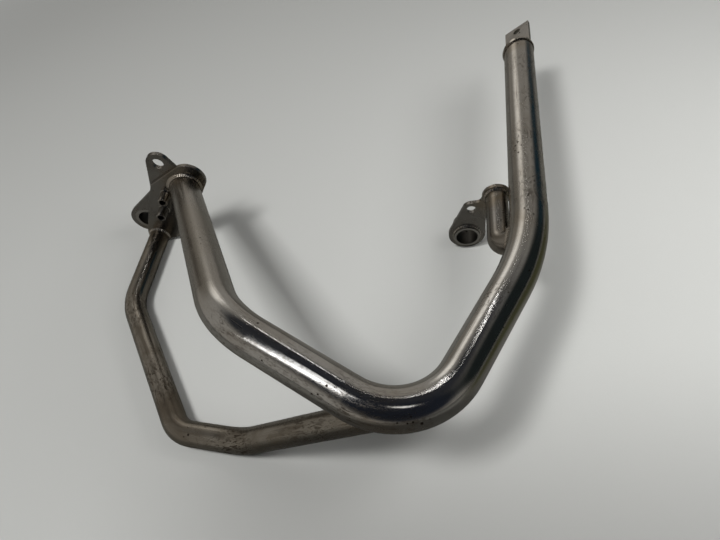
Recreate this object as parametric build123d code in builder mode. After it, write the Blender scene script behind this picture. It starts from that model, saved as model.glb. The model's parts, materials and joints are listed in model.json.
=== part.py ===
from build123d import *
import os

# Motorcycle crash bar lying on a level surface, its fixing bolts running along Y
# Millimetres, +Z up, origin under the middle of the bar on the surface it rests on

os.makedirs("parts", exist_ok=True)

# Main bar, from its foot on the left bracket round to its closed end
main_diameter = 25.0
main_wall = 2.0
main_foot = (-119.5, 62.5)
main_knee = (-18.0, -135.5, 108.0)
main_low_corner = (91.0, -197.0, 70.0)
main_high_corner = (160.0, -73.0, 61.0)
main_end = (179.3, 153.0, 62.0)
main_bends = [60.0, 45.0, 155.0]

# Brace bar, whose left part lies flat on the surface
brace_diameter = 18.0
brace_wall = 1.5
brace_axis_height = brace_diameter / 2
brace_foot = (-176.5, brace_axis_height)
brace_outer_corner = (-176.5, -37.5, brace_axis_height)
brace_front_corner = (-94.5, -159.0, brace_axis_height)
brace_rise_corner = (-42.0, -168.5, brace_axis_height)
brace_joint_reach = 332.5
brace_bends = [50.0, 27.0, 57.0]

# Left bracket: an ear plate with a front plate laid on its face
bracket_face = 44.5
front_plate_thickness = 3.0
ear_plate_thickness = 4.0
tube_lobe = (-111.3, 70.4)
tube_lobe_radius = 14.8
brace_lobe = (-176.0, 12.2)
brace_lobe_radius = 10.2
front_corner = (-147.5, 69.3)
front_corner_radius = 2.0
front_heel = (-154.0, 14.0)
front_heel_radius = 9.0
bush_lobe_radius = 15.0
upper_ear = (-131.5, 89.5)
upper_ear_radius = 10.0
upper_ear_hole = 10.5
ear_heel = (-123.5, 64.0)
ear_heel_radius = 10.0
lower_ear = (-177.3, 30.2)
lower_ear_radius = 16.0
web_knee = (-145.0, 54.0)
web_knee_radius = 12.0
web_fillet = 15.0

# Sleeve that lines the lower ear
sleeve_diameter = 24.0
sleeve_bore = 18.0
sleeve_length = 20.0

# Tapped bushes on the front plate, each through its own collar
bush_diameter = 8.5
bush_hole = 5.5
bush_hole_depth = 10.0
bush_length = 13.5
upper_bush_gap = 7.0
upper_bush_drop = 2.5
lower_bush = (-150.8, 43.0)
collar_diameter = 10.5
collar_thickness = 3.0

# Side bracket carried by the stub bar
side_face = -10.0
side_plate_thickness = 3.0
side_lobe_radius = 14.0
side_lobe = (119.0, side_lobe_radius)
side_shoulder = (125.0, 41.0)
side_shoulder_radius = 6.2
side_root = (135.3, 45.5)
side_root_radius = 1.5
side_head = (144.0, 50.3)
side_head_radius = 10.2
side_head_fillet = 4.0
side_hole_diameter = 7.0
boss_diameter = 20.0
boss_bore = 16.0
boss_front = 2.5
boss_length = 16.0

# Stub bar from the side bracket to the main bar
stub_diameter = 16.0
stub_wall = 2.0
stub_elbow = (141.6, -57.5, 50.0)
stub_joint_reach = 477.0
stub_bend = 8.5

# Closed end of the main bar and its drilled tab
cap_diameter = 27.4
cap_thickness = 2.5
cap_turn = 10.0
tab_width = 23.0
tab_length = 37.6
tab_thickness = 3.0
tab_roll = 28.0
tab_hole = 6.5
tab_hole_distance = 30.6

# Fits, weld beads and broken edges
fit_gap = 0.1
cope_gap = 0.1
foot_bead = 2.8
joint_bead = 1.8
ring_bead = 1.5
cap_bead = 0.75
bead_slope = 0.9
ground_relief = 2.2
edge_break = 0.4
trim_length = 20.0


def face_plane(depth):
    """Plane that faces -Y at a depth, with its x along X and its y along Z."""
    return Plane(origin=(0, depth, 0), x_dir=(1, 0, 0), z_dir=(0, -1, 0))


def at_depth(place, depth):
    """Point in space of a place on a bracket, given as X and Z."""
    return (place[0], depth, place[1])


def run_on(end, before, extra):
    """Point beyond the end of a run, so that the bar can be trimmed there."""
    run = Vector(*end) - Vector(*before)
    return tuple(Vector(*end) + run.normalized() * extra)


def lobe_hull(lobes):
    """Outline round lobes, each given as a centre and a radius."""
    with BuildSketch() as outline:
        with BuildLine():
            for centre, radius in lobes:
                CenterArc(centre, radius, 0, 360)
        make_hull()
    return outline.sketch


def rod(corners, bends, diameter):
    """Solid round bar along straight runs joined by tangent arcs."""
    with BuildPart() as bar:
        with BuildLine() as axis:
            FilletPolyline(*corners, radius=bends)
        with BuildSketch(Plane(origin=axis.line @ 0, z_dir=axis.line % 0)):
            Circle(diameter / 2)
        sweep()
    return bar.part


def joint_on_main(reach):
    """Point on the main bar's axis, at a length from its foot along the bends."""
    with BuildLine():
        main_axis = FilletPolyline(*main_path, radius=main_bends)
    from_start = trim_length + reach
    return tuple(main_axis.position_at(from_start, position_mode=PositionMode.LENGTH))


def plate_axis(plate):
    """Axis that stands square on a plate."""
    return Axis(plate.origin, plate.z_dir)


def foot_band(end, before, diameter, plate, bead):
    """Slice of a bar grown by a bead, as high as the bead, that stands on a plate."""
    with BuildPart() as band:
        with BuildSketch(Plane(origin=end, z_dir=Vector(*before) - Vector(*end))):
            Circle(diameter / 2 + bead)
        extrude(amount=trim_length, both=True)
        split(bisect_by=plate, keep=Keep.TOP)
        split(bisect_by=plate.offset(bead), keep=Keep.BOTTOM)
    return band.part


def foot_weld(bar, end, before, diameter, plate, bead):
    """Bead round a bar's foot, as high as it is wide and sloped down to the plate."""
    with BuildPart() as weld:
        add(foot_band(end, before, diameter, plate, bead))
        crest = weld.faces().sort_by(plate_axis(plate))[-1]
        chamfer(crest.edges(), bead * bead_slope)
        add(bar, mode=Mode.SUBTRACT)
    return weld.part


def ring_weld(place, plate, diameter, bead):
    """Bead round a ring that stands square on a plate."""
    with BuildPart() as weld:
        with BuildSketch(plate):
            with Locations(place):
                Circle(diameter / 2 + bead)
        extrude(amount=bead)
        crest = weld.faces().sort_by(plate_axis(plate))[-1]
        chamfer(crest.edges(), bead * bead_slope)
        with BuildSketch(plate):
            with Locations(place):
                Circle(diameter / 2)
        extrude(amount=bead, mode=Mode.SUBTRACT)
    return weld.part


def joint_weld(bar, before, joint, diameter):
    """Bead where the last run of a bar meets the main bar."""
    run = Vector(*joint) - Vector(*before)
    with BuildPart() as weld:
        with BuildSketch(Plane(origin=before, z_dir=run)):
            Circle(diameter / 2 + joint_bead)
        extrude(amount=run.length)
        add(rod(main_path, main_bends, main_diameter + 2 * joint_bead), mode=Mode.INTERSECT)
        add(main_rod, mode=Mode.SUBTRACT)
        add(bar, mode=Mode.SUBTRACT)
    return weld.part


def save(piece, name):
    piece.label = name
    export_step(piece, f"parts/{name}.step")


# Place of the upper bush, beside the main bar's foot
upper_bush_reach = main_diameter / 2 + upper_bush_gap
upper_bush = (main_foot[0] - upper_bush_reach, main_foot[1] - upper_bush_drop)

# Planes and paths that the pieces share
bracket_plane = face_plane(bracket_face)
ear_face = bracket_face + front_plate_thickness
ear_plane = face_plane(ear_face)
ear_back = ear_face + ear_plate_thickness
side_plane = face_plane(side_face)

main_start = run_on(at_depth(main_foot, bracket_face), main_knee, trim_length)
main_finish = run_on(main_end, main_high_corner, trim_length)
main_path = [main_start, main_knee, main_low_corner, main_high_corner, main_finish]
cap_normal = Vector(0, 1, 0).rotate(Axis.Z, cap_turn)
cap_plane = Plane(origin=main_end, x_dir=cap_normal.cross(Vector(0, 0, 1)), z_dir=cap_normal)
cap_back = Plane(origin=main_end, x_dir=cap_plane.x_dir, z_dir=cap_normal * -1)

brace_start = at_depth(brace_foot, bracket_face)
brace_corners = [brace_outer_corner, brace_front_corner, brace_rise_corner]
brace_path = [brace_start] + brace_corners + [joint_on_main(brace_joint_reach)]

stub_start = run_on(at_depth(side_head, side_face), stub_elbow, trim_length)
stub_path = [stub_start, stub_elbow, joint_on_main(stub_joint_reach)]

main_rod = rod(main_path, main_bends, main_diameter)
main_clearance = rod(main_path, main_bends, main_diameter + 2 * cope_gap)
brace_rod = rod(brace_path, brace_bends, brace_diameter)
stub_rod = rod(stub_path, stub_bend, stub_diameter)

# Main bar: cut flush to the front plate and to its end cap
with BuildPart() as main_tube:
    add(main_rod)
    add(rod(main_path, main_bends, main_diameter - 2 * main_wall), mode=Mode.SUBTRACT)
    with BuildSketch(bracket_plane):
        with Locations(main_foot):
            Circle(2 * main_diameter)
    extrude(amount=-2 * trim_length, mode=Mode.SUBTRACT)
    with BuildSketch(cap_plane):
        Circle(main_diameter)
    extrude(amount=2 * trim_length, mode=Mode.SUBTRACT)
save(main_tube.part, "main_tube")

# Brace bar: square on the front plate and coped round the main bar
with BuildPart() as brace_tube:
    add(brace_rod)
    add(rod(brace_path, brace_bends, brace_diameter - 2 * brace_wall), mode=Mode.SUBTRACT)
    add(main_clearance, mode=Mode.SUBTRACT)
save(brace_tube.part, "brace_tube")

# Stub bar: a short elbow from the side bracket, coped round the main bar
with BuildPart() as stub_tube:
    add(stub_rod)
    add(rod(stub_path, stub_bend, stub_diameter - 2 * stub_wall), mode=Mode.SUBTRACT)
    add(main_clearance, mode=Mode.SUBTRACT)
    with BuildSketch(side_plane):
        with Locations(side_head):
            Circle(stub_diameter)
    extrude(amount=-2 * trim_length, mode=Mode.SUBTRACT)
save(stub_tube.part, "stub_tube")

# Front plate: the bars' feet stand on two lobes, and the bushes between them
with BuildPart() as front_plate:
    with BuildSketch(bracket_plane):
        add(lobe_hull([
            (tube_lobe, tube_lobe_radius),
            (brace_lobe, brace_lobe_radius),
            (front_corner, front_corner_radius),
            (front_heel, front_heel_radius),
            (lower_bush, bush_lobe_radius),
        ]))
    extrude(amount=-front_plate_thickness)
    chamfer(front_plate.faces().sort_by(Axis.Y)[0].edges(), edge_break)
save(front_plate.part, "front_plate")

# Ear plate: two ears on a cranked web that lies behind the front plate
with BuildPart() as ear_plate:
    with BuildSketch(ear_plane) as ear_outline:
        add(lobe_hull([
            (upper_ear, upper_ear_radius),
            (ear_heel, ear_heel_radius),
            (web_knee, web_knee_radius),
        ]))
        add(lobe_hull([(lower_ear, lower_ear_radius), (web_knee, web_knee_radius)]))
        between_ears = (Vector(*upper_ear) + Vector(*lower_ear)) / 2
        fillet(ear_outline.vertices().sort_by_distance(between_ears)[0], web_fillet)
        with Locations(upper_ear):
            Circle(upper_ear_hole / 2, mode=Mode.SUBTRACT)
        with Locations(lower_ear):
            Circle(sleeve_diameter / 2 + fit_gap, mode=Mode.SUBTRACT)
    extrude(amount=-ear_plate_thickness)
save(ear_plate.part, "ear_plate")

# Sleeve: flush with the ear plate's face and standing out behind it
with BuildPart() as ear_sleeve:
    with BuildSketch(ear_plane):
        with Locations(lower_ear):
            Circle(sleeve_diameter / 2)
            Circle(sleeve_bore / 2, mode=Mode.SUBTRACT)
    extrude(amount=-sleeve_length)
save(ear_sleeve.part, "ear_sleeve")


def tapped_bush(place, name):
    """Round bush that stands on the front plate, with a blind hole in its end."""
    with BuildPart() as bush:
        with BuildSketch(bracket_plane):
            with Locations(place):
                Circle(bush_diameter / 2)
        extrude(amount=bush_length)
        with BuildSketch(bracket_plane.offset(bush_length)):
            with Locations(place):
                Circle(bush_hole / 2)
        extrude(amount=-bush_hole_depth, mode=Mode.SUBTRACT)
        chamfer(bush.faces().sort_by(Axis.Y)[0].edges(), edge_break)
    save(bush.part, name)


def collar(place, name):
    """Ring round the foot of a tapped bush, trimmed where the main bar stands."""
    with BuildPart() as ring:
        with BuildSketch(bracket_plane):
            with Locations(place):
                Circle(collar_diameter / 2)
                Circle(bush_diameter / 2 + fit_gap, mode=Mode.SUBTRACT)
        extrude(amount=collar_thickness)
        chamfer(ring.faces().sort_by(Axis.Y)[0].edges(), edge_break)
        add(main_clearance, mode=Mode.SUBTRACT)
    save(ring.part, name)


tapped_bush(upper_bush, "upper_bush")
tapped_bush(lower_bush, "lower_bush")

collar(upper_bush, "upper_collar")
collar(lower_bush, "lower_collar")

# Weld at the main bar's foot, stopped short by the upper collar
main_stand = at_depth(main_foot, bracket_face)
with BuildPart() as main_foot_weld:
    add(foot_weld(main_rod, main_stand, main_knee, main_diameter, bracket_plane, foot_bead))
    with BuildSketch(bracket_plane):
        with Locations(upper_bush):
            Circle(collar_diameter / 2 + fit_gap)
    extrude(amount=collar_thickness, mode=Mode.SUBTRACT)
save(main_foot_weld.part, "main_foot_weld")

# Side plate: a round foot that meets the surface, a shoulder and a head for the stub
with BuildPart() as side_plate:
    with BuildSketch(side_plane) as side_outline:
        add(lobe_hull([
            (side_lobe, side_lobe_radius),
            (side_shoulder, side_shoulder_radius),
            (side_root, side_root_radius),
        ]))
        with Locations(side_head):
            Circle(side_head_radius)
        head_centre = Vector(*side_head)
        inner_corners = side_outline.vertices().filter_by(
            lambda corner: abs((Vector(corner) - head_centre).length - side_head_radius) < fit_gap
        )
        fillet(inner_corners.sort_by(Axis.X)[:2], side_head_fillet)
        with Locations(side_shoulder):
            Circle(side_hole_diameter / 2, mode=Mode.SUBTRACT)
        with Locations(side_lobe):
            Circle(boss_diameter / 2 + fit_gap, mode=Mode.SUBTRACT)
    extrude(amount=-side_plate_thickness)
save(side_plate.part, "side_plate")

# Side boss: a thick ring through the side plate's foot
with BuildPart() as side_boss:
    with BuildSketch(side_plane.offset(boss_front)):
        with Locations(side_lobe):
            Circle(boss_diameter / 2)
            Circle(boss_bore / 2, mode=Mode.SUBTRACT)
    extrude(amount=-boss_length)
save(side_boss.part, "side_boss")

# End cap: a disc on the end of the main bar
with BuildPart() as end_cap:
    with BuildSketch(cap_plane):
        Circle(cap_diameter / 2)
    extrude(amount=cap_thickness)
save(end_cap.part, "end_cap")

# Lap tab: a drilled flat bar that runs on from the bar's end, rolled about its axis
end_run = (Vector(*main_end) - Vector(*main_high_corner)).normalized()
tab_root = Vector(*main_end) + end_run * (cap_thickness / end_run.dot(cap_normal))
tab_normal = Vector(1, 0, 0).rotate(Axis.Y, -tab_roll).cross(end_run).normalized()
tab_across = end_run.cross(tab_normal)
tab_plane = Plane(origin=tab_root, x_dir=tab_across, z_dir=tab_normal)
cap_face = cap_plane.offset(cap_thickness)
with BuildPart() as lap_tab:
    with BuildSketch(tab_plane):
        Rectangle(tab_width, 2 * tab_length)
        with Locations((0, tab_hole_distance)):
            Circle(tab_hole / 2, mode=Mode.SUBTRACT)
    extrude(amount=tab_thickness / 2, both=True)
    split(bisect_by=cap_face, keep=Keep.TOP)
save(lap_tab.part, "lap_tab")

# Welds at the feet of the brace bar and the stub bar
with BuildPart() as brace_foot_weld:
    add(foot_weld(brace_rod, brace_start, brace_outer_corner, brace_diameter, bracket_plane, joint_bead))
    split(bisect_by=Plane.XY.offset(ground_relief), keep=Keep.TOP)
save(brace_foot_weld.part, "brace_foot_weld")

stub_foot = at_depth(side_head, side_face)
stub_foot_weld = foot_weld(stub_rod, stub_foot, stub_elbow, stub_diameter, side_plane, joint_bead)
save(stub_foot_weld, "stub_foot_weld")

# Welds where the brace bar and the stub bar meet the main bar
save(joint_weld(brace_rod, brace_rise_corner, brace_path[-1], brace_diameter), "brace_joint_weld")
save(joint_weld(stub_rod, stub_elbow, stub_path[-1], stub_diameter), "stub_joint_weld")

# Welds at the closed end: round the cap and along both faces of the tab
with BuildPart() as cap_weld:
    add(foot_band(main_end, main_high_corner, main_diameter, cap_back, cap_bead))
    add(main_rod, mode=Mode.SUBTRACT)
save(cap_weld.part, "cap_weld")

seam_run = tab_normal.cross(cap_normal).normalized()
seam_side = cap_normal.cross(seam_run)
with BuildPart() as tab_weld:
    for side in (-1, 1):
        seam_middle = tab_root + seam_side * (side * tab_thickness / 2 / seam_side.dot(tab_normal))
        with BuildSketch(Plane(origin=seam_middle, z_dir=seam_run)):
            Circle(ring_bead)
        extrude(amount=tab_width / 2, both=True)
    add(lap_tab.part, mode=Mode.SUBTRACT)
    split(bisect_by=cap_face, keep=Keep.TOP)
save(tab_weld.part, "tab_weld")

# Ring welds at the side boss and at the ear sleeve
boss_weld = ring_weld(side_lobe, side_plane, boss_diameter, ring_bead)
save(boss_weld, "boss_weld")

ear_back_plane = Plane(origin=(0, ear_back, 0), x_dir=(1, 0, 0), z_dir=(0, 1, 0))
sleeve_weld = ring_weld((lower_ear[0], -lower_ear[1]), ear_back_plane, sleeve_diameter, ring_bead)
save(sleeve_weld, "sleeve_weld")
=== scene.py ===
import json
import math

import bpy
import numpy as np
from mathutils import Matrix, Vector, noise


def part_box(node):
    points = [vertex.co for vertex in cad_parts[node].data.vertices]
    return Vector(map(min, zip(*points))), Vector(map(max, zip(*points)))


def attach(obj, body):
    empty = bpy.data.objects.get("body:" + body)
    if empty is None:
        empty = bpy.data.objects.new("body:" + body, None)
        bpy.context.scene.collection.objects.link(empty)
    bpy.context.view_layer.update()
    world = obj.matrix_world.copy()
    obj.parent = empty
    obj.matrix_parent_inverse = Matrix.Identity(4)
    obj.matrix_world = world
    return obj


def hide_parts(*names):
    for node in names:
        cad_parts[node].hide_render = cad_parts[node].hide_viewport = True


# A crash bar of worn stainless steel on a pale table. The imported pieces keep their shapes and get
# their steel here, the weld beads get ripples, and lamps and room give the light of the photograph.

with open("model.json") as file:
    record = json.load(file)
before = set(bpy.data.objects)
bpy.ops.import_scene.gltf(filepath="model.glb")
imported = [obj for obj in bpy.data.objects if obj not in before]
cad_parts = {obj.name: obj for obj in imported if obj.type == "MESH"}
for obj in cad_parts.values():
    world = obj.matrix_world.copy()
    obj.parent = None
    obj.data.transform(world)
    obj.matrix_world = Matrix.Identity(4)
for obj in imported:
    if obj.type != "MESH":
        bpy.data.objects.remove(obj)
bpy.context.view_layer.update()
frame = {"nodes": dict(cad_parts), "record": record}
nodes = frame["nodes"]
slots = {part["node"]: part["material_slot"] for part in frame["record"]["subparts"]}

# Camera of the photograph, in the row frame
CAMERA_PLACE = (0.1344, -0.3011, 0.3363)
CAMERA_RIGHT = (0.9656, 0.0596, -0.2531)
CAMERA_UP = (0.1127, 0.7812, 0.6140)
LENS_MM = 27.05
SENSOR_MM = 36.0
NEAREST_SEEN = 0.01

# Soft windows light the table and the bars: a way, distance, size and watts each
WINDOWS = {
    "window_left": ((-0.30, -0.22, 0.91), 2.2, (0.48, 0.54), 24.5),
    "window_right": ((0.75, -0.10, 0.65), 0.70, (0.30, 0.30), 1.9),
}

# Ceiling lamps that the polished steel mirrors: the places of both ends, width and watts
LAMP_HEIGHT = 1.35
PANELS = {
    "panel_far": ((-1.00, -0.84), (-0.58, -0.80), 0.05, 0.13),
    "panel_left": ((-0.58, -0.80), (-0.04, -0.56), 0.12, 0.55),
    "panel_low": ((-0.42, -0.80), (0.12, -0.28), 0.26, 0.90),
    "panel_right": ((0.66, -0.44), (0.70, -0.62), 0.22, 0.16),
    "panel_back": ((0.52, 0.56), (0.12, 1.10), 0.016, 0.26),
}

# The room: how strong it is as a light, and the grey that it has except in mirrors
ROOM_STRENGTH = 0.08
ROOM_GREY = (0.62, 0.62, 0.615, 1.0)

# What the steel mirrors of the room: its walls, and tones on them. Each tone has a way, the inner
# and outer reach round it, and its colour.
ROOM_WALL = (0.30, 0.285, 0.26, 1.0)
ROOM_TONES = (
    ((-0.32, 0.80, 0.50), 0.10, 0.30, (1.05, 1.01, 0.94, 1.0)),
    ((0.10, 0.05, 0.99), 0.45, 0.80, (0.03, 0.032, 0.037, 1.0)),
    ((0.32, -0.65, 0.69), 0.60, 0.95, (0.015, 0.018, 0.026, 1.0)),
    ((0.92, 0.25, 0.28), 0.35, 0.75, (0.014, 0.018, 0.018, 1.0)),
    ((-0.66, 0.70, 0.26), 0.10, 0.50, (0.19, 0.175, 0.15, 1.0)),
    ((0.70, 0.70, 0.14), 0.14, 0.34, (0.012, 0.03, 0.042, 1.0)),
    ((-0.75, 0.66, 0.08), 0.07, 0.20, (0.045, 0.038, 0.03, 1.0)),
)

# The table: half its side, how far it lies under the part, its roughness and its two pale tones
TABLE_HALF = 3.0
TABLE_DROP = 0.0001
TABLE_ROUGH = 0.6
TABLE_TONE = (0.64, 0.645, 0.62, 1.0)
TABLE_SPECKLE = (0.61, 0.615, 0.59, 1.0)
SPECKLE_SHARE = 0.25

# Painted shade on the table, at its front right: its tone and share, and the Y and X at its edges
PAINTED_SHADE_TONE = (0.37, 0.37, 0.355, 1.0)
PAINTED_SHADE_SHARE = 0.85
PAINTED_SHADE_Y = (-0.26, -0.10)
PAINTED_SHADE_X = (-0.18, 0.04)

# The table far from the part, as the camera sees it: its tone, and where it starts and is full
FAR_TONE = (0.56, 0.565, 0.55, 1.0)
FAR_REACH = (0.8, 2.4)

# Painted reflected shade: what the steel mirrors of the table is its tone, darker than the table
# itself, and darker patches in it. Each patch has a place, the inner and outer reach round it, and
# its tone.
TABLE_MIRRORED = (0.21, 0.205, 0.185, 1.0)
MIRRORED_TABLE_TONES = (
    ((0.40, -0.08, 0.0), 0.12, 0.26, (0.045, 0.045, 0.018, 1.0)),
    ((0.08, -0.34, 0.0), 0.14, 0.30, (0.06, 0.058, 0.052, 1.0)),
)

# Weld beads, in metres: the grain of the remesh, and the depth and spacing of the ripples
WELD_GRAIN = 0.00032
RIPPLE_DEPTH = 0.00032
RIPPLE_PITCH = 0.0021

# The fewest ripples on a bead, the sharpness of their crests, and the noise that makes them uneven,
# by its scale per metre and its depth as a share of a ripple's
RIPPLES_LEAST = 8
CREST_POWER = 0.6
UNEVEN_SCALE = 420.0
UNEVEN_SHARE = 0.5


class Graph:
    """A short way to write a node tree."""

    def __init__(self, tree):
        self.tree = tree
        tree.nodes.clear()

    def add(self, kind, settings=None, **inputs):
        """Adds a node. Its inputs go by number, as i0 or i1, or by name with _ for each space."""
        node = self.tree.nodes.new(kind)
        for name, value in (settings or {}).items():
            setattr(node, name, value)
        for name, value in inputs.items():
            number = name[1:]
            socket = node.inputs[int(number) if number.isdigit() else name.replace("_", " ")]
            self.feed(socket, value)
        return node

    def feed(self, socket, value):
        if isinstance(value, bpy.types.NodeSocket):
            self.tree.links.new(value, socket)
        else:
            socket.default_value = value

    def math(self, operation, a, b):
        return self.add("ShaderNodeMath", {"operation": operation}, i0=a, i1=b).outputs[0]

    def times(self, a, b):
        return self.math("MULTIPLY", a, b)

    def raised(self, number, mask, amount):
        """A number, raised by an amount where the mask is full."""
        return self.math("ADD", number, self.times(mask, amount))

    def most(self, masks):
        """The highest of several masks at each place."""
        found = masks[0]
        for mask in masks[1:]:
            found = self.math("MAXIMUM", found, mask)
        return found

    def vector(self, operation, a, b, output="Vector"):
        return self.add("ShaderNodeVectorMath", {"operation": operation}, i0=a, i1=b).outputs[output]

    def scaled(self, where, factors):
        return self.vector("MULTIPLY", where, factors)

    def distance(self, where, point):
        return self.vector("DISTANCE", where, point, "Value")

    def part_of(self, vector, axis):
        return self.add("ShaderNodeSeparateXYZ", None, Vector=vector).outputs[axis]

    def noise(self, where, scale, detail, roughness=0.55, distortion=0.0):
        found = self.add(
            "ShaderNodeTexNoise", None,
            Vector=where, Scale=scale, Detail=detail, Roughness=roughness, Distortion=distortion,
        )
        return found.outputs["Fac"]

    def step(self, value, low, high, from_value=0.0, to_value=1.0):
        """Smooth change from one number to another, as value goes from low to high."""
        found = self.add(
            "ShaderNodeMapRange", {"interpolation_type": "SMOOTHSTEP"},
            i0=value, i1=low, i2=high, i3=from_value, i4=to_value,
        )
        return found.outputs[0]

    def spot(self, where, point, inner, outer, height=1.0):
        """Round mask: its height inside the inner reach of a point, nothing past the outer."""
        return self.step(self.distance(where, point), inner, outer, height, 0.0)

    def mix(self, share, a, b):
        node = self.add("ShaderNodeMix", {"data_type": "RGBA"})
        self.feed(node.inputs[0], share)
        self.feed(node.inputs[6], a)
        self.feed(node.inputs[7], b)
        return node.outputs[2]

    def bump(self, height, strength, depth, under=None, invert=False):
        """Bump of a height, over the normal of the bump under it."""
        node = self.add(
            "ShaderNodeBump", {"invert": invert}, Strength=strength, Distance=depth, Height=height,
        )
        if under:
            self.feed(node.inputs["Normal"], under)
        return node.outputs[0]


def middle(node):
    low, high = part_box(node)
    return tuple((low + high) / 2)


# Axes of the bars with drawn marks: corners, and the radius of the bend at each, in metres
BAR_AXES = {
    "main_tube": (
        [(-0.1195, 0.0445, 0.0625), (-0.018, -0.1355, 0.108), (0.091, -0.197, 0.070),
         (0.160, -0.073, 0.061), (0.1793, 0.153, 0.062)],
        [0.060, 0.045, 0.155],
    ),
    "brace_tube": (
        [(-0.1765, 0.0445, 0.009), (-0.1765, -0.0375, 0.009), (-0.0945, -0.159, 0.009),
         (-0.042, -0.1685, 0.009), (0.0834, -0.1787, 0.0703)],
        [0.050, 0.027, 0.057],
    ),
}
AXIS_STEP = 0.001
ARC_POINTS_LEAST = 4


def bar_axis(corners, bends):
    """Points about a millimetre apart along straight runs joined by tangent arcs."""
    corners = [Vector(corner) for corner in corners]
    line = [corners[0]]
    for before, corner, after, radius in zip(corners, corners[1:], corners[2:], bends):
        into, out = (corner - before).normalized(), (after - corner).normalized()
        turn = into.angle(out)
        reach = radius * math.tan(turn / 2)
        centre = corner + (out - into).normalized() * (radius / math.cos(turn / 2))
        spoke = corner - into * reach - centre
        axis = into.cross(out).normalized()
        count = max(ARC_POINTS_LEAST, round(radius * turn / AXIS_STEP))
        for share in np.linspace(0.0, 1.0, count):
            line.append(centre + Matrix.Rotation(turn * share, 3, axis) @ spoke)
    line.append(corners[-1])
    spaced = []
    for start, end in zip(line, line[1:]):
        count = max(1, round((end - start).length / AXIS_STEP))
        spaced += [start.lerp(end, index / count) for index in range(count)]
    return spaced + [line[-1]]


def mark_along(part, corners, bends):
    """Gives each vertex its two places across the bar and its length along it."""
    line = np.array(bar_axis(corners, bends))
    tangents = np.gradient(line, axis=0)
    tangents /= np.linalg.norm(tangents, axis=1)[:, None]
    lengths = np.concatenate([[0.0], np.cumsum(np.linalg.norm(np.diff(line, axis=0), axis=1))])
    side = np.cross(tangents[0], (0.0, 0.0, 1.0))
    sides = []
    for tangent in tangents:
        side = side - tangent * side.dot(tangent)
        side = side / np.linalg.norm(side)
        sides.append(side)
    sides = np.array(sides)
    ups = np.cross(sides, tangents)
    points = np.array([v.co for v in part.data.vertices])
    near = np.array([((line - point) ** 2).sum(1).argmin() for point in points])
    offset = points - line[near]
    values = np.stack([
        (offset * sides[near]).sum(1),
        (offset * ups[near]).sum(1),
        lengths[near] + (offset * tangents[near]).sum(1),
    ], axis=1)
    attribute = part.data.attributes.new("along_bar", "FLOAT_VECTOR", "POINT")
    attribute.data.foreach_set("vector", values.astype(np.float32).ravel())


# Where the photograph shows dark stains: a place, its reach and how dark it is. A stain is full
# within the core, a share of its reach.
STAIN_SPOTS = (
    ((-0.012, -0.152, 0.104), 0.030, 0.75),
    ((0.020, -0.170, 0.098), 0.028, 0.60),
    ((0.055, -0.186, 0.082), 0.034, 0.80),
    ((0.088, -0.199, 0.078), 0.022, 0.85),
    ((0.135, -0.118, 0.075), 0.020, 0.50),
    ((0.176, 0.020, 0.070), 0.034, 0.75),
    ((0.170, -0.028, 0.070), 0.028, 0.70),
    ((0.184, 0.068, 0.070), 0.026, 0.80),
    ((0.184, 0.118, 0.068), 0.026, 0.75),
    ((-0.062, -0.060, 0.098), 0.040, 0.35),
    ((-0.044, -0.176, 0.013), 0.026, 1.00),
    ((-0.119, -0.120, 0.015), 0.034, 0.75),
    ((-0.170, -0.055, 0.015), 0.034, 0.60),
    ((0.020, -0.176, 0.044), 0.034, 0.55),
    ((-0.176, 0.030, 0.016), 0.018, 0.60),
)
STAIN_CORE = 0.25

# Weld beads with heat tint round them, and the reach of the tint. It fades between two shares of
# that reach, and is least where the steel has no tarnish.
HEATED = {
    "main_foot_weld": 0.020,
    "brace_foot_weld": 0.016,
    "brace_joint_weld": 0.022,
    "stub_joint_weld": 0.016,
    "stub_foot_weld": 0.015,
    "cap_weld": 0.016,
}
HEAT_FADE = (0.7, 1.55)
HEAT_LEAST = 0.45

# Bores along Y, painted dark inside as shade: a place across X and Z, a radius and the Y of the near
# end
BORES = (
    ((0.119, 0.0, 0.014), 0.0083, -0.0300),
    ((-0.1773, 0.0, 0.0302), 0.0093, 0.0477),
    ((-0.139, 0.0, 0.060), 0.0030, 0.0200),
    ((-0.1508, 0.0, 0.043), 0.0030, 0.0200),
)

# Noise of each kind of wear: scale per metre, detail, roughness and distortion
NOISES = {
    "clouds": (26.0, 5.0, 0.6, 0.6),
    "blotches": (95.0, 6.0, 0.7, 1.1),
    "dust": (900.0, 3.0, 0.65),
    "scratches": (1500.0, 3.0, 0.6),
    "streaks": (230.0, 4.0, 0.6, 0.4),
    "soil": (620.0, 6.0, 0.72, 0.8),
    "pits": (60.0, 2.0),
    "swells": (38.0, 2.0, 0.5),
    "table": (900.0, 3.0),
}

# The noise at which each kind of wear starts, and at which it is full
RANGES = {
    "clouds": (0.42, 0.72),
    "blotches": (0.50, 0.78),
    "dust": (0.35, 0.75),
    "scratches": (0.56, 0.70),
    "streaks": (0.48, 0.74),
    "soil": (0.47, 0.62),
    "pits": (0.50, 0.74),
    "table": (0.30, 0.70),
}

# Noise that is drawn out along a bar: its scale along the bar, as a share of that across
DRAWN_OUT = {"scratches": 0.022, "streaks": 0.05, "soil": 0.35}
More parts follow.
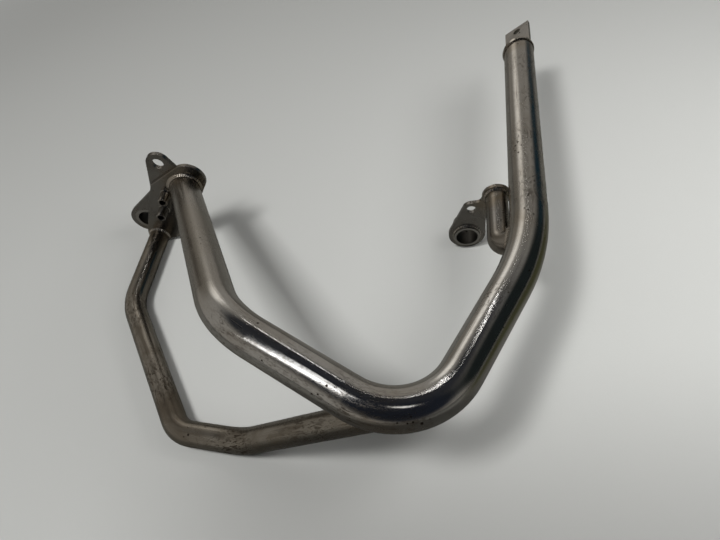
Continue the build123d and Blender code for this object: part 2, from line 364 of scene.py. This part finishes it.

# Tones of the wear and of the painted shade in the bores, and how much of each shows where it is
# full
BLOTCH_BROWN, BLOTCH_SHARE = (0.30, 0.25, 0.19, 1.0), 0.60
DUST_GREY, DUST_SHARE = (0.33, 0.31, 0.29, 1.0), 0.14
STREAK_SHARE = 0.55
SCRATCH_GREY, SCRATCH_SHARE = (0.24, 0.22, 0.20, 1.0), 0.30
SOIL_BROWN, SOIL_SHARE = (0.085, 0.066, 0.048, 1.0), 0.85
HEAT_STRAW, HEAT_SHARE = (0.40, 0.31, 0.20, 1.0), 0.42
PIT_BLACK, PIT_SHARE = (0.06, 0.045, 0.035, 1.0), 1.0
# Painted shade inside the bores, where light doesn't reach
BORE_SHADE, BORE_SHADE_SHARE = (0.02, 0.018, 0.015, 1.0), 0.85
DULL_GREY, DULL_SHARE = (0.38, 0.35, 0.305, 1.0), 0.60

# Roughness that the wear and the shaded bores add where they are full. Blotches add a share of what
# tarnish adds.
BLOTCH_ROUGH = 0.5
STREAK_ROUGH = 0.10
SCRATCH_ROUGH = 0.12
SOIL_ROUGH = 0.25
PIT_ROUGH = 0.4
BORE_ROUGH = 0.3
DULL_ROUGH = 0.15

# Pits: cells per metre, and the largest pit as a share of its cell
PIT_SCALE = 310.0
PIT_LARGEST = 0.30

# Bumps: the strength of each, and its depth in metres
SWELL_STRENGTH = 0.35
DUST_STRENGTH, DUST_DEPTH = 0.5, 0.00005
PIT_STRENGTH, PIT_DEPTH = 0.6, 0.00012
SCRATCH_STRENGTH, SCRATCH_DEPTH = 0.5, 0.00003

# Fade of the polish at its two ends: the length in metres of each, and how dull the bar gets
DULL_BEFORE = (0.03, 1.0)
DULL_AFTER = (0.05, 0.65)


def new_material(name):
    material = bpy.data.materials.new(name)
    material.use_nodes = True
    return material, Graph(material.node_tree)


def wear(g, kind, where):
    """The noise of a kind of wear, and the mask of where that wear is."""
    found = g.noise(where, *NOISES[kind])
    return found, g.step(found, *RANGES[kind])


def drawn_wear(g, kind, bar):
    """The same, drawn out along a bar."""
    return wear(g, kind, g.scaled(bar, (1.0, 1.0, DRAWN_OUT[kind])))


def stain_mask(g, where):
    return g.most([
        g.spot(where, point, reach * STAIN_CORE, reach, darkness)
        for point, reach, darkness in STAIN_SPOTS
    ])


def heat_mask(g, where, clouds):
    inner, outer = HEAT_FADE
    near = g.most([
        g.spot(where, middle(weld), reach * inner, reach * outer)
        for weld, reach in HEATED.items()
    ])
    return g.times(near, g.step(clouds, 0.0, 1.0, HEAT_LEAST, 1.0))


def pit_mask(g, place, strength):
    """Pits in clusters, larger where a cluster is full."""
    cells = g.add(
        "ShaderNodeTexVoronoi", {"feature": "F1"}, Vector=place, Scale=PIT_SCALE, Randomness=1.0,
    )
    size = g.step(g.noise(place, *NOISES["pits"]), *RANGES["pits"], 0.0, PIT_LARGEST)
    return g.times(g.math("LESS_THAN", cells.outputs["Distance"], size), strength)


def bore_shade_mask(g, where):
    """Painted shade: the insides of the bores, from their near ends back."""
    across = g.scaled(where, (1.0, 0.0, 1.0))
    depth = g.part_of(where, "Y")
    insides = []
    for point, radius, near_end in BORES:
        inside = g.math("LESS_THAN", g.distance(across, point), radius)
        insides.append(g.times(inside, g.math("GREATER_THAN", depth, near_end)))
    return g.most(insides)


def dull_mask(g, bar, polished):
    """The two ends of a bar, before and after its polished length."""
    length = g.part_of(bar, "Z")
    start, end = polished
    fade_in, dull_in = DULL_BEFORE
    fade_out, dull_out = DULL_AFTER
    before = g.step(length, start, start + fade_in, dull_in, 0.0)
    after = g.step(length, end, end + fade_out, 0.0, dull_out)
    return g.math("ADD", before, after)


def steel(name, clean, tarnish, rough, swing, stain, pits, wave, seed, drawn=0.0, polished=None):
    """Worn stainless steel: tarnish, drawn scratches, stains, dark pits, heat tint by the welds, and
    painted shade inside the bores.

    rough is the roughness of clean steel and swing what tarnish adds to it. stain, pits and drawn
    are the strengths of tarnish, pits and the marks along a bar. wave is the depth of the swells,
    seed moves the noise, and polished is where the polish starts and ends along the bar.
    """
    material, g = new_material(name)
    where = g.add("ShaderNodeTexCoord").outputs["Object"]
    place = g.vector("ADD", where, (seed, 2 * seed, -seed))
    bar = g.add("ShaderNodeAttribute", {"attribute_name": "along_bar"}).outputs["Vector"]

    clouds = wear(g, "clouds", place)[1]
    blotches = wear(g, "blotches", place)[1]
    fine, dust = wear(g, "dust", place)
    specks = pit_mask(g, place, pits)

    # Each layer of wear or painted shade: its mask, its tone, how much of it shows, and the
    # roughness that it adds
    layers = [
        (clouds, tarnish, stain, swing),
        (blotches, BLOTCH_BROWN, BLOTCH_SHARE * stain, BLOTCH_ROUGH * swing),
        (dust, DUST_GREY, DUST_SHARE, 0.0),
    ]
    if drawn:
        hairs, scratches = drawn_wear(g, "scratches", bar)
        streaks = drawn_wear(g, "streaks", bar)[1]
        soil = g.times(stain_mask(g, where), drawn_wear(g, "soil", bar)[1])
        layers += [
            (streaks, tarnish, STREAK_SHARE * drawn, STREAK_ROUGH * drawn),
            (scratches, SCRATCH_GREY, SCRATCH_SHARE * drawn, SCRATCH_ROUGH * drawn),
            (soil, SOIL_BROWN, SOIL_SHARE * drawn, SOIL_ROUGH * drawn),
        ]
    layers += [
        (heat_mask(g, where, clouds), HEAT_STRAW, HEAT_SHARE, 0.0),
        (specks, PIT_BLACK, PIT_SHARE, PIT_ROUGH),
        # Painted shade inside the bores
        (bore_shade_mask(g, where), BORE_SHADE, BORE_SHADE_SHARE, BORE_ROUGH),
    ]
    if polished:
        layers.append((dull_mask(g, bar, polished), DULL_GREY, DULL_SHARE, DULL_ROUGH))

    colour, gloss = clean, rough
    for mask, tone, share, added in layers:
        colour = g.mix(g.times(mask, share), colour, tone)
        if added:
            gloss = g.raised(gloss, mask, added)
    gloss.node.use_clamp = True

    normal = g.bump(g.noise(place, *NOISES["swells"]), SWELL_STRENGTH, wave)
    normal = g.bump(fine, DUST_STRENGTH, DUST_DEPTH, normal)
    normal = g.bump(specks, PIT_STRENGTH, PIT_DEPTH, normal, invert=True)
    if drawn:
        normal = g.bump(hairs, SCRATCH_STRENGTH * drawn, SCRATCH_DEPTH, normal, invert=True)
    shader = g.add(
        "ShaderNodeBsdfPrincipled", None,
        Base_Color=colour, Metallic=1.0, Roughness=gloss, Normal=normal,
    )
    g.add("ShaderNodeOutputMaterial", None, Surface=shader.outputs[0])
    return material


FINISHES = {
    "polished_steel": steel(
        "polished_steel_worn", clean=(0.58, 0.572, 0.555, 1.0), tarnish=(0.40, 0.365, 0.32, 1.0),
        rough=0.06, swing=0.08, stain=0.50, pits=1.0, wave=0.00035, seed=0.0,
        drawn=1.0, polished=(0.185, 0.430),
    ),
    "brace_steel": steel(
        "brace_steel_worn", clean=(0.35, 0.325, 0.285, 1.0), tarnish=(0.16, 0.13, 0.095, 1.0),
        rough=0.20, swing=0.14, stain=0.80, pits=1.0, wave=0.00040, seed=0.37, drawn=1.5,
    ),
    "plate_steel": steel(
        "plate_steel_worn", clean=(0.30, 0.29, 0.275, 1.0), tarnish=(0.17, 0.155, 0.135, 1.0),
        rough=0.22, swing=0.13, stain=0.75, pits=0.8, wave=0.00015, seed=0.81,
    ),
    "turned_steel": steel(
        "turned_steel_worn", clean=(0.46, 0.45, 0.43, 1.0), tarnish=(0.22, 0.20, 0.17, 1.0),
        rough=0.10, swing=0.10, stain=0.70, pits=0.8, wave=0.00010, seed=2.17,
    ),
    "weld_steel": steel(
        "weld_steel_worn", clean=(0.48, 0.455, 0.42, 1.0), tarnish=(0.25, 0.215, 0.17, 1.0),
        rough=0.09, swing=0.10, stain=0.75, pits=0.5, wave=0.00010, seed=1.43,
    ),
}

# Turned pieces, brighter than the plates that carry them
TURNED = (
    "end_cap", "side_boss", "ear_sleeve",
    "upper_bush", "lower_bush", "upper_collar", "lower_collar",
)


def dress(piece, finish):
    piece.data.materials.clear()
    piece.data.materials.append(FINISHES[finish])


def rippled_weld(node):
    """The weld bead of a CAD node, with the ripples that its weld pool leaves."""
    source = nodes[node]
    piece = bpy.data.objects.new(node + "_beads", source.data.copy())
    bpy.context.scene.collection.objects.link(piece)
    remesh = piece.modifiers.new("grain", "REMESH")
    remesh.mode = "VOXEL"
    remesh.voxel_size = WELD_GRAIN
    remesh.use_smooth_shade = True
    bpy.context.view_layer.update()
    evaluated = piece.evaluated_get(bpy.context.evaluated_depsgraph_get())
    mesh = bpy.data.meshes.new_from_object(evaluated)
    piece.modifiers.clear()
    piece.data = mesh
    points = np.array([v.co for v in mesh.vertices])
    normals = np.array([v.normal for v in mesh.vertices])
    centre = points.mean(0)
    axes = np.linalg.svd(points - centre, full_matrices=False)[2]
    across, along = (points - centre) @ axes[0], (points - centre) @ axes[1]
    radius = float(np.sqrt((across ** 2 + along ** 2).mean()))
    ripples = max(RIPPLES_LEAST, round(2 * math.pi * radius / RIPPLE_PITCH))
    angle = np.arctan2(along, across)
    crest = np.abs(np.sin(angle * ripples / 2)) ** CREST_POWER
    uneven = np.array([noise.noise(Vector(p) * UNEVEN_SCALE) for p in points])
    sink = RIPPLE_DEPTH * (1.0 - crest) + RIPPLE_DEPTH * UNEVEN_SHARE * np.clip(uneven, 0, 1)
    points = points - normals * sink[:, None]
    mesh.vertices.foreach_set("co", points.astype(np.float32).ravel())
    mesh.update()
    dress(piece, slots[node])
    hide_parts(node)
    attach(piece, "root")


for node, part in nodes.items():
    dress(part, "turned_steel" if node in TURNED else slots[node])
    if node in BAR_AXES:
        mark_along(part, *BAR_AXES[node])
for node in sorted(nodes):
    if slots[node] == "weld_steel":
        rippled_weld(node)


def floor_material():
    """Pale matt table with painted shade at its front right, a darker painted reflection that only
    mirrored rays see, and plain pale far from the part.
    """
    material, g = new_material("pale_table")
    where = g.add("ShaderNodeTexCoord").outputs["Object"]
    path = g.add("ShaderNodeLightPath").outputs
    speckle = g.times(wear(g, "table", where)[1], SPECKLE_SHARE)
    tone = g.mix(speckle, TABLE_TONE, TABLE_SPECKLE)
    # Painted shade: the table gets darker towards its front right
    shade_ahead = g.step(g.part_of(where, "Y"), *PAINTED_SHADE_Y, PAINTED_SHADE_SHARE, 0.0)
    corner = g.times(shade_ahead, g.step(g.part_of(where, "X"), *PAINTED_SHADE_X))
    tone = g.mix(corner, tone, PAINTED_SHADE_TONE)
    mirrored = TABLE_MIRRORED
    for place, inner, outer, darker in MIRRORED_TABLE_TONES:
        mirrored = g.mix(g.spot(where, place, inner, outer), mirrored, darker)
    # Mirrored rays see the table painted darker, as reflected shade
    tone = g.mix(path["Is Glossy Ray"], tone, mirrored)
    near = g.add("ShaderNodeBsdfPrincipled", None, Base_Color=tone, Roughness=TABLE_ROUGH).outputs[0]
    far = g.add("ShaderNodeEmission", None, Color=FAR_TONE, Strength=1.0).outputs[0]
    share = g.times(g.step(g.distance(where, (0.0, 0.0, 0.0)), *FAR_REACH), path["Is Camera Ray"])
    both = g.add("ShaderNodeMixShader", None, i0=share, i1=near, i2=far)
    g.add("ShaderNodeOutputMaterial", None, Surface=both.outputs[0])
    return material


def make_floor():
    half = TABLE_HALF
    mesh = bpy.data.meshes.new("table")
    corners = [(-half, -half, 0), (half, -half, 0), (half, half, 0), (-half, half, 0)]
    mesh.from_pydata(corners, [], [(0, 1, 2, 3)])
    floor = bpy.data.objects.new("table", mesh)
    floor.location.z = -TABLE_DROP
    bpy.context.scene.collection.objects.link(floor)
    mesh.materials.append(floor_material())


def make_world():
    """Plain grey room, dim as a light, with tones in it that only mirrored rays see."""
    world = bpy.data.worlds.new("room")
    bpy.context.scene.world = world
    world.use_nodes = True
    g = Graph(world.node_tree)
    way = g.add("ShaderNodeTexCoord").outputs["Generated"]
    path = g.add("ShaderNodeLightPath").outputs
    wall = ROOM_WALL
    for point, inner, outer, tone in ROOM_TONES:
        wall = g.mix(g.spot(way, point, inner, outer), wall, tone)
    seen = g.mix(path["Is Glossy Ray"], ROOM_GREY, wall)
    dim = g.add("ShaderNodeBackground", None, Color=seen, Strength=ROOM_STRENGTH).outputs[0]
    full = g.add("ShaderNodeBackground", None, Color=seen, Strength=1.0).outputs[0]
    shown = g.most([path["Is Glossy Ray"], path["Is Camera Ray"]])
    both = g.add("ShaderNodeMixShader", None, i0=shown, i1=dim, i2=full)
    g.add("ShaderNodeOutputWorld", None, Surface=both.outputs[0])


def area_lamp(name, place, turn, size, watts):
    lamp = bpy.data.lights.new(name, "AREA")
    lamp.shape = "RECTANGLE"
    lamp.size, lamp.size_y = size
    lamp.energy = watts
    holder = bpy.data.objects.new(name, lamp)
    holder.matrix_world = Matrix.Translation(place) @ turn.to_4x4()
    bpy.context.scene.collection.objects.link(holder)
    return holder


def window(name, direction, distance, size, watts):
    """Soft light, turned to the part, that the steel doesn't mirror."""
    way = Vector(direction).normalized()
    turn = way.to_track_quat("Z", "Y").to_matrix()
    area_lamp(name, way * distance, turn, size, watts).visible_glossy = False


def panel(name, start, end, width, watts):
    """Lamp between two places at ceiling height, turned to the part."""
    start, end = Vector((*start, LAMP_HEIGHT)), Vector((*end, LAMP_HEIGHT))
    place = (start + end) / 2
    along = (end - start).normalized()
    back = (place - along * place.dot(along)).normalized()
    turn = Matrix((along, back.cross(along), back)).transposed()
    area_lamp(name, place, turn, ((end - start).length, width), watts)


def make_camera():
    right, up = Vector(CAMERA_RIGHT).normalized(), Vector(CAMERA_UP).normalized()
    back = right.cross(up).normalized()
    up = back.cross(right)
    turn = Matrix((right, up, back)).transposed().to_4x4()
    data = bpy.data.cameras.new("photograph")
    data.lens = LENS_MM
    data.sensor_width = SENSOR_MM
    data.sensor_fit = "HORIZONTAL"
    data.clip_start = NEAREST_SEEN
    camera = bpy.data.objects.new("photograph", data)
    camera.matrix_world = Matrix.Translation(CAMERA_PLACE) @ turn
    bpy.context.scene.collection.objects.link(camera)
    bpy.context.scene.camera = camera


make_floor()
make_world()
for lamp_name, lamp_values in WINDOWS.items():
    window(lamp_name, *lamp_values)
for lamp_name, lamp_values in PANELS.items():
    panel(lamp_name, *lamp_values)
make_camera()
bpy.context.scene.view_settings.view_transform = "Standard"
